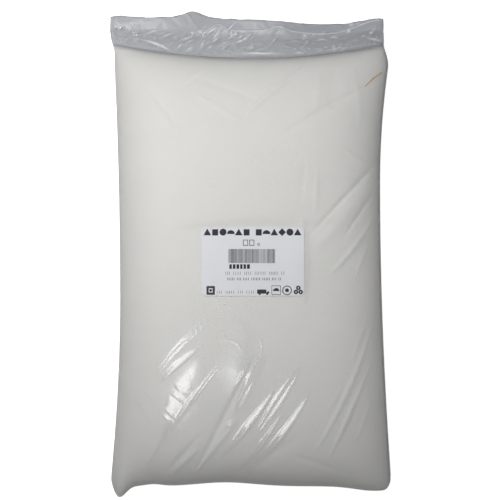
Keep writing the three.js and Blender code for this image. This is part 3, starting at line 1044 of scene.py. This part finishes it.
def shape_row(box, order):
    """A line of plain shapes as tall as the box: squares, discs, triangles, diamonds and half discs."""
    pitch, reach = (box.right - box.left) / len(order), SHAPE_REACH * (box.high - box.low)
    middle = (box.low + box.high) / 2
    shapes = []
    for number, kind in enumerate(order):
        x = box.left + pitch * (number + 0.5)
        if kind == "square":
            left, right, low, high = (reach * side for side in SQUARE_SHAPE)
            shapes.append(bar(Box(x + left, x + right, middle + low, middle + high)))
        else:
            shape = ROUND_SHAPES[kind]
            shapes.append(disc(shape._replace(x=x, y=middle + reach * shape.y, outer=reach * shape.outer)))
    return shapes


def outlined_square(box, stroke):
    sides = (
        box._replace(right=box.left + stroke),
        box._replace(left=box.right - stroke),
        box._replace(high=box.low + stroke),
        box._replace(low=box.high - stroke),
    )
    return [bar(side) for side in sides]


def ticks(box, stroke, gap, rng):
    """A line of fine upright strokes, with a wider space after every few."""
    strokes, left = [], box.left
    while left < box.right - stroke:
        for _ in range(rng.integers(*TICK_GROUP)):
            if left < box.right - stroke:
                strokes.append(bar(Box(left, left + stroke, box.low, box.high)))
            left += stroke + gap * rng.uniform(*TICK_UNEVENNESS)
        left += TICK_GROUP_GAP * gap
    return strokes


def dark_print(rng):
    parts = []
    for box, order in zip(HEADING, HEADING_SHAPES):
        parts += shape_row(box, order)
    parts += print_blocks(SHORT_LINE, rng) + ticks(FINE_LINE, *FINE_TICK, rng)
    for box, stroke in SQUARE_MARKS:
        parts += outlined_square(box, stroke)
    return parts + [bar(box) for box in BLOCK_MARKS] + [disc(shape) for shape in ROUND_MARKS]


def grey_print(rng):
    third = (SUBHEADING.right - SUBHEADING.left) / 3
    parts = []
    for left in (SUBHEADING.left, SUBHEADING.left + third):
        frame = SUBHEADING._replace(left=left, right=left + FRAME_SHARE * third)
        parts += outlined_square(frame, FRAME_STROKE)
    parts.append(disc(Disc(SUBHEADING.right - third / 2, SUBHEADING.low + FRAME_RING_LIFT, *FRAME_RING)))
    for line in GREY_LINES:
        parts += ticks(line, *GREY_TICK, rng)
    return parts


def drape_tree():
    """Drops flat print onto the surface below it, and keeps each vertex's own height above that."""
    group, tree, source, out = new_group(
        "Draped Print",
        "GeometryNodeTree",
        [
            ("Print", "NodeSocketGeometry", None),
            ("Surface", "NodeSocketObject", None),
            ("Lift", "NodeSocketFloat", 0.00005),
            ("Material", "NodeSocketMaterial", None),
        ],
        [("Print", "NodeSocketGeometry")],
    )
    drape_nodes(tree, source.outputs["Print"], source, out.inputs["Print"])
    return group


def drape_nodes(tree, geometry, source, out):
    """Looks down from above the bag at each vertex, to find the surface below it."""
    values = {"Object": source.outputs["Surface"]}
    surface = tree.add("GeometryNodeObjectInfo", values, transform_space="RELATIVE").outputs["Geometry"]
    place = tree.add("GeometryNodeInputPosition").outputs[0]
    x, y, z = tree.add("ShaderNodeSeparateXYZ", {0: place}).outputs
    values = {"Target Geometry": surface, "Source Position": tree.vector(x, y, 0.1), "Ray Length": 1.0}
    hit = tree.add("GeometryNodeRaycast", {**values, "Ray Direction": (0.0, 0.0, -1.0)})
    landed = tree.add("ShaderNodeSeparateXYZ", {0: hit.outputs["Hit Position"]}).outputs[2]
    height = tree.maths("ADD", tree.maths("ADD", landed, source.outputs["Lift"]), z)
    moved = tree.add("GeometryNodeSetPosition", {"Geometry": geometry, "Position": tree.vector(x, y, height)})
    tree.end_with(moved.outputs[0], source, out)


def barcode_tree():
    """A row of upright bars of uneven width, draped on the surface below."""
    group, tree, source, out = new_group(
        "Bar Pattern",
        "GeometryNodeTree",
        [
            ("Print", "NodeSocketGeometry", None),
            ("Start", "NodeSocketVector", (0.0, 0.0, 0.0)),
            ("Pitch", "NodeSocketFloat", 0.0009),
            ("Height", "NodeSocketFloat", 0.01),
            ("Count", "NodeSocketInt", 38),
            ("Seed", "NodeSocketInt", 3),
            ("Surface", "NodeSocketObject", None),
            ("Lift", "NodeSocketFloat", 0.00005),
            ("Material", "NodeSocketMaterial", None),
        ],
        [("Print", "NodeSocketGeometry")],
    )
    count, start, pitch, height = (source.outputs[name] for name in ("Count", "Start", "Pitch", "Height"))
    values = {"Count": count, "Start Location": start, "Offset": tree.vector(pitch)}
    line = tree.add("GeometryNodeMeshLine", values)
    size = tree.vector(pitch, height, PRINT_THICKNESS * MM)
    one = tree.add("GeometryNodeMeshCube", {"Size": size, "Vertices Y": BAR_ROWS})
    width = tree.random_number(BAR_WIDTH, source.outputs["Seed"])
    values = {"Points": line.outputs[0], "Instance": one.outputs[0], "Scale": tree.vector(width, 1.0, 1.0)}
    bars = tree.add("GeometryNodeInstanceOnPoints", values)
    real = tree.add("GeometryNodeRealizeInstances", {0: bars.outputs[0]})
    drape_nodes(tree, real.outputs[0], source, out.inputs["Print"])
    return group


def add_nodes(piece, group, inputs):
    """Puts a Geometry Nodes tree on a piece and turns the result into a plain mesh."""
    modifier = piece.modifiers.new(group.name, "NODES")
    modifier.node_group = group
    for name, value in inputs.items():
        set_input(modifier, name, value)
    settle(piece)


def piece_named(name):
    if name not in bpy.data.objects:
        raise RuntimeError(f"{name} has to be built first")
    return bpy.data.objects[name]


class BagForm(bpy.types.PropertyGroup):
    """Sizes of the film, the sugar and the stray grains."""

    film_gap: FloatProperty(
        name="Film gap", description="Room between the sugar and the film", default=0.0004, unit="LENGTH"
    )
    crease_height: FloatProperty(
        name="Crease height", description="Share of the creases' full height", default=1.0, subtype="FACTOR"
    )
    crumple_height: FloatProperty(
        name="Crumple height", description="Height of the mouth's crumples", default=0.0006, unit="LENGTH"
    )
    crumple_size: FloatProperty(
        name="Crumple size", description="Size of one crumple", default=0.011, unit="LENGTH"
    )
    pucker_count: IntProperty(name="Puckers", description="Creases that run in from the sides", default=70)
    crinkle_count: IntProperty(name="Crinkles", description="Small creases of the mouth", default=150)
    grain_size: FloatProperty(
        name="Grain size", description="Size of a stray grain", default=0.001, unit="LENGTH"
    )
    glint_streak_radius: FloatProperty(
        name="Fibre radius", description="Half the stray fibre's thickness", default=0.0003, unit="LENGTH"
    )
    seed: IntProperty(name="Seed", description="Seed of all that is random", default=11)


class BagFinish(bpy.types.PropertyGroup):
    """Colours and gloss of the pieces."""

    sugar_colour: FloatVectorProperty(
        name="Sugar", description="Colour of the sugar", default=(0.86, 0.853, 0.825), subtype="COLOR"
    )
    crystal_colour: FloatVectorProperty(
        name="Crystal", description="Colour of the stray grains", default=(0.94, 0.95, 0.96), subtype="COLOR"
    )
    haze_colour: FloatVectorProperty(
        name="Haze", description="Colour of the milky film", default=(0.36, 0.38, 0.42), subtype="COLOR"
    )
    body_haze: FloatProperty(
        name="Body haze", description="Share of the tight film that is milky", default=0.02, subtype="FACTOR"
    )
    mouth_haze: FloatProperty(
        name="Mouth haze", description="Share added where the film is slack", default=0.5, subtype="FACTOR"
    )
    film_shine: FloatProperty(name="Film shine", description="Gloss beside that of glass", default=1.5)
    film_roughness: FloatProperty(
        name="Film roughness", description="Roughness of the lifted film", default=0.15, subtype="FACTOR"
    )
    # painted reflection: colour of the orange streak on the film
    glint_streak_colour: FloatVectorProperty(
        name="Streak", description="Colour of the stray fibre", default=(0.75, 0.46, 0.2), subtype="COLOR"
    )
    paper_colour: FloatVectorProperty(
        name="Paper", description="Colour of the label", default=(0.745, 0.75, 0.79), subtype="COLOR"
    )
    dark_ink: FloatVectorProperty(
        name="Dark ink", description="Colour of dark print", default=(0.012, 0.012, 0.018), subtype="COLOR"
    )
    grey_ink: FloatVectorProperty(
        name="Grey ink", description="Colour of the grey print", default=(0.12, 0.11, 0.14), subtype="COLOR"
    )


class StageSettings(bpy.types.PropertyGroup):
    """Floor, lights and camera."""

    camera_height: FloatProperty(
        name="Camera height", description="Height of the camera above the floor", default=1.4, unit="LENGTH"
    )
    view_width: FloatProperty(
        name="View width", description="Width of the view at the bag's edge", default=0.3725, unit="LENGTH"
    )
    floor_colour: FloatVectorProperty(
        name="Floor", description="Colour of the floor", default=(0.85, 0.85, 0.85), subtype="COLOR"
    )
    floor_glow: FloatProperty(
        name="Floor glow", description="How much the floor is lifted towards white", default=0.85
    )
    sky_strength: FloatProperty(name="Sky", description="Strength of the light from all round", default=0.23)
    key_power: FloatProperty(name="Key", description="Power of the main lamp", default=1.75, subtype="POWER")
    glint_power: FloatProperty(
        name="Glint", description="Power of the lamp that shines in the film", default=3.6, subtype="POWER"
    )
    side_power: FloatProperty(
        name="Side", description="Power of the lamp that shines in the creases", default=3.2, subtype="POWER"
    )


class SUGAR_OT_fill(bpy.types.Operator):
    """Builds the sugar inside the bag"""

    bl_idname = "sugar_bag.fill"
    bl_label = "Sugar"

    def execute(self, context):
        steps = np.linspace(-1, 1, SUGAR_ACROSS + 1), np.linspace(-1, 1, SUGAR_ROWS + 1)
        across, along = np.meshgrid(crowded(steps[0]), (1 + crowded(steps[1])) / 2)
        face = face_points(across * SUGAR_INSET, along)
        back = back_points(across * SUGAR_INSET, along)
        back[..., 2] = np.minimum(np.maximum(back[..., 2], SUGAR_FLOOR), face[..., 2] - SUGAR_LEAST)
        faces, inner = sealed_faces(face.shape[:2])
        rows, columns = np.array(inner).T
        points = to_frame(np.concatenate([face.reshape(-1, 3), back[rows, columns]]))
        colour = context.scene.bag_finish.sugar_colour
        material = speckled_material("white_sugar", colour, (0.94, 1.03), (0.0008, 0.02), (0.35, 0.0005), 0.6)
        sugar = new_piece("sugar", points, faces, material)
        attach(sugar, "root")
        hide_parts("sugar_bag")
        return {"FINISHED"}


class SUGAR_OT_film(bpy.types.Operator):
    """Builds the clear film with its creases and its empty mouth"""

    bl_idname = "sugar_bag.film"
    bl_label = "Film"

    def execute(self, context):
        form = context.scene.bag_form
        face, back, shares = film_sheets(form)
        faces, inner = sealed_faces(face.shape[:2])
        rows, columns = np.array(inner).T
        points = to_frame(np.concatenate([face.reshape(-1, 3), back[rows, columns]]))
        material = film_material(context.scene.bag_finish)
        film = new_piece("film", points, faces, material)
        for name, share in shares.items():
            values = film.data.attributes.new(name, "FLOAT", "POINT")
            values.data.foreach_set("value", np.concatenate([share.ravel(), share[rows, columns]]))
        inputs = {"Height": form.crumple_height, "Size": form.crumple_size, "Seed": float(form.seed)}
        add_nodes(film, crumple_tree(), {**inputs, "Material": material})
        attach(film, "root")
        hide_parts("sugar_bag")
        return {"FINISHED"}


class SUGAR_OT_grains(bpy.types.Operator):
    """Scatters the stray grains that cling inside the empty mouth"""

    bl_idname = "sugar_bag.grains"
    bl_label = "Stray Grains"

    def execute(self, context):
        form = context.scene.bag_form
        film = piece_named("film")
        grains = bpy.data.objects.new("stray_grains", film.data.copy())
        context.scene.collection.objects.link(grains)
        colour = context.scene.bag_finish.crystal_colour
        sizes, bump = (0.0003, 0.004), (0.1, 0.0001)
        material = speckled_material("crystal", colour, (0.96, 1.04), sizes, bump, 0.12, 1.0)
        inputs = {"Grain Size": form.grain_size, "Seed": form.seed, "Material": material}
        add_nodes(grains, grains_tree(), inputs)
        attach(grains, "root")
        return {"FINISHED"}


class SUGAR_OT_glint_streak(bpy.types.Operator):
    """Lays a thin orange-brown thread on the film near the right shoulder, as a painted reflection"""

    bl_idname = "sugar_bag.fibre"
    bl_label = "Stray Fibre"

    def execute(self, context):
        form = context.scene.bag_form
        places = np.array(GLINT_STREAK_PATH)
        height = face_height(places[:, 0], places[:, 1]) + form.film_gap / MM + GLINT_STREAK_LIFT
        edges = [(i, i + 1) for i in range(len(places) - 1)]
        fibre = new_piece("stray_fibre", to_frame(np.column_stack([places, height])), [], edges=edges)
        # the orange-brown colour is a painted reflection of an orange streak in a crease
        colour = context.scene.bag_finish.glint_streak_colour
        material = speckled_material("brown_fibre", colour, (0.7, 1.3), (0.001, 0.004), (0.1, 0.0001), 0.6)
        add_nodes(fibre, thread_tree(), {"Radius": form.glint_streak_radius, "Material": material})
        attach(fibre, "root")
        return {"FINISHED"}


class SUGAR_OT_label(bpy.types.Operator):
    """Builds the paper label"""

    bl_idname = "sugar_bag.label"
    bl_label = "Label"

    def execute(self, context):
        x, y = label_outline_grid()
        low = face_height(x, y) + LABEL_LIFT
        top = np.stack([x, y, low + LABEL_THICKNESS], axis=-1)
        bottom = np.stack([x, y, low], axis=-1)
        points = to_frame(np.concatenate([top.reshape(-1, 3), bottom.reshape(-1, 3)]))
        colour = context.scene.bag_finish.paper_colour
        sizes, bump = (0.0006, 0.012), (0.08, 0.0002)
        material = speckled_material("label_paper", colour, (0.96, 1.03), sizes, bump, 0.55)
        label = new_piece("paper_label", points, closed_faces(x.shape), material, smooth_shaded=False)
        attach(label, "root")
        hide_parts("label")
        return {"FINISHED"}


class SUGAR_OT_print(bpy.types.Operator):
    """Lays the generic print on the label"""

    bl_idname = "sugar_bag.print"
    bl_label = "Label Print"

    def execute(self, context):
        form, finish = context.scene.bag_form, context.scene.bag_finish
        label = piece_named("paper_label")
        rng = np.random.default_rng(form.seed)
        dark, grey = ink_material("dark_ink", finish.dark_ink), ink_material("grey_ink", finish.grey_ink)
        drape = drape_tree()
        middle = np.array([LABEL_X, LABEL_Y, 0])
        for name, parts, material in (
            ("dark_print", dark_print(rng), dark),
            ("grey_print", grey_print(rng), grey),
        ):
            points, faces = joined(parts)
            piece = new_piece(name, to_frame(points + middle), faces, material, smooth_shaded=False)
            add_nodes(piece, drape, {"Surface": label, "Material": material})
            self.finish_print(piece)
        bars = new_piece("bar_pattern", np.zeros((0, 3)), [], grey, smooth_shaded=False)
        start = to_frame(middle + (BARCODE.left, (BARCODE.low + BARCODE.high) / 2, 0))
        inputs = {
            "Start": tuple(start),
            "Pitch": BAR_PITCH * MM,
            "Height": (BARCODE.high - BARCODE.low) * MM,
            "Count": round((BARCODE.right - BARCODE.left) / BAR_PITCH),
            "Seed": form.seed,
            "Surface": label,
            "Material": grey,
        }
        add_nodes(bars, barcode_tree(), inputs)
        self.finish_print(bars)
        return {"FINISHED"}

    def finish_print(self, piece):
        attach(piece, "root")


class SUGAR_OT_stage(bpy.types.Operator):
    """Builds the floor, the lights and the camera"""

    bl_idname = "sugar_bag.stage"
    bl_label = "Stage"

    def execute(self, context):
        stage = context.scene.bag_stage
        self.add_floor(stage)
        self.add_lights(stage)
        self.add_camera(stage)
        context.scene.view_settings.view_transform = "Standard"
        return {"FINISHED"}

    def add_floor(self, stage):
        material, tree, out = new_material("pale_floor")
        paint = tree.add("ShaderNodeBsdfDiffuse", {"Color": (*stage.floor_colour, 1)})
        seen = tree.add("ShaderNodeLightPath").outputs["Is Camera Ray"]
        glow = tree.add("ShaderNodeEmission", {"Strength": tree.maths("MULTIPLY", seen, stage.floor_glow)})
        lit = tree.add("ShaderNodeAddShader", {0: paint.outputs[0], 1: glow.outputs[0]})
        tree.feed(out.inputs["Surface"], lit.outputs[0])
        corners = FLOOR_HALF * np.array([(-1, -1, 0), (1, -1, 0), (1, 1, 0), (-1, 1, 0)])
        floor = new_piece("floor", corners - (0, 0, FLOOR_DROP), [[0, 1, 2, 3]], material)

    def add_lamp(self, name, setting, power):
        """An oval lamp that either lights the stage or is mirrored in the film."""
        lamp = bpy.data.lights.new(name, "AREA")
        lamp.shape = "ELLIPSE"
        lamp.size, lamp.size_y = setting.size
        lamp.energy = power
        holder = bpy.data.objects.new(name, lamp)
        bpy.context.scene.collection.objects.link(holder)
        holder.location = setting.place
        away = (Vector(setting.place) - Vector(setting.target)).normalized()
        across = Vector(setting.length_way).cross(away).normalized()
        holder.rotation_euler = Matrix((across, away.cross(across), away)).transposed().to_euler()
        holder.visible_glossy, holder.visible_diffuse = setting.mirrored, not setting.mirrored

    def add_lights(self, stage):
        world = bpy.data.worlds.new("sky")
        bpy.context.scene.world = world
        world.use_nodes = True
        background = world.node_tree.nodes["Background"]
        background.inputs["Color"].default_value = (1, 1, 1, 1)
        tree = Tree(world.node_tree)
        seen = tree.add("ShaderNodeLightPath").outputs["Is Camera Ray"]
        strength = tree.maths("MULTIPLY_ADD", seen, 1 - stage.sky_strength, stage.sky_strength)
        tree.feed(background.inputs["Strength"], strength)
        self.add_lamp("key", KEY_LAMP, stage.key_power)
        self.add_lamp("glint", GLINT_LAMP, stage.glint_power)
        self.add_lamp("side", SIDE_LAMP, stage.side_power)

    def add_camera(self, stage):
        camera = bpy.data.cameras.new("camera")
        holder = bpy.data.objects.new("camera", camera)
        bpy.context.scene.collection.objects.link(holder)
        middle = to_frame(np.array([0, VIEW_MIDDLE_Y, 0]))
        holder.location = (middle[0], middle[1], stage.camera_height)
        away = stage.camera_height - EDGE_Z * MM
        camera.lens = camera.sensor_width * away / stage.view_width
        camera.clip_start, camera.clip_end = 0.01, 20
        bpy.context.scene.camera = holder


class SUGAR_PT_panel(bpy.types.Panel):
    """Lists the bag's pieces and their sizes"""

    bl_idname = "SUGAR_PT_panel"
    bl_label = "Sugar Bag"
    bl_space_type = "VIEW_3D"
    bl_region_type = "UI"
    bl_category = "Sugar Bag"

    def draw(self, context):
        for operator in PIECES:
            self.layout.operator(operator.bl_idname)
        for settings in (context.scene.bag_form, context.scene.bag_finish, context.scene.bag_stage):
            box = self.layout.box()
            for name in settings.__annotations__:
                box.prop(settings, name)


PIECES = (
    SUGAR_OT_fill,
    SUGAR_OT_film,
    SUGAR_OT_grains,
    SUGAR_OT_glint_streak,
    SUGAR_OT_label,
    SUGAR_OT_print,
    SUGAR_OT_stage,
)
CLASSES = (BagForm, BagFinish, StageSettings, *PIECES, SUGAR_PT_panel)


def register():
    for cls in CLASSES:
        bpy.utils.register_class(cls)
    bpy.types.Scene.bag_form = PointerProperty(type=BagForm)
    bpy.types.Scene.bag_finish = PointerProperty(type=BagFinish)
    bpy.types.Scene.bag_stage = PointerProperty(type=StageSettings)


def unregister():
    del bpy.types.Scene.bag_stage
    del bpy.types.Scene.bag_finish
    del bpy.types.Scene.bag_form
    for cls in reversed(CLASSES):
        bpy.utils.unregister_class(cls)


def main():
    register()
    bpy.ops.sugar_bag.fill()
    bpy.ops.sugar_bag.film()
    bpy.ops.sugar_bag.grains()
    bpy.ops.sugar_bag.fibre()
    bpy.ops.sugar_bag.label()
    bpy.ops.sugar_bag.print()
    bpy.ops.sugar_bag.stage()


if __name__ == "__main__":
    main()
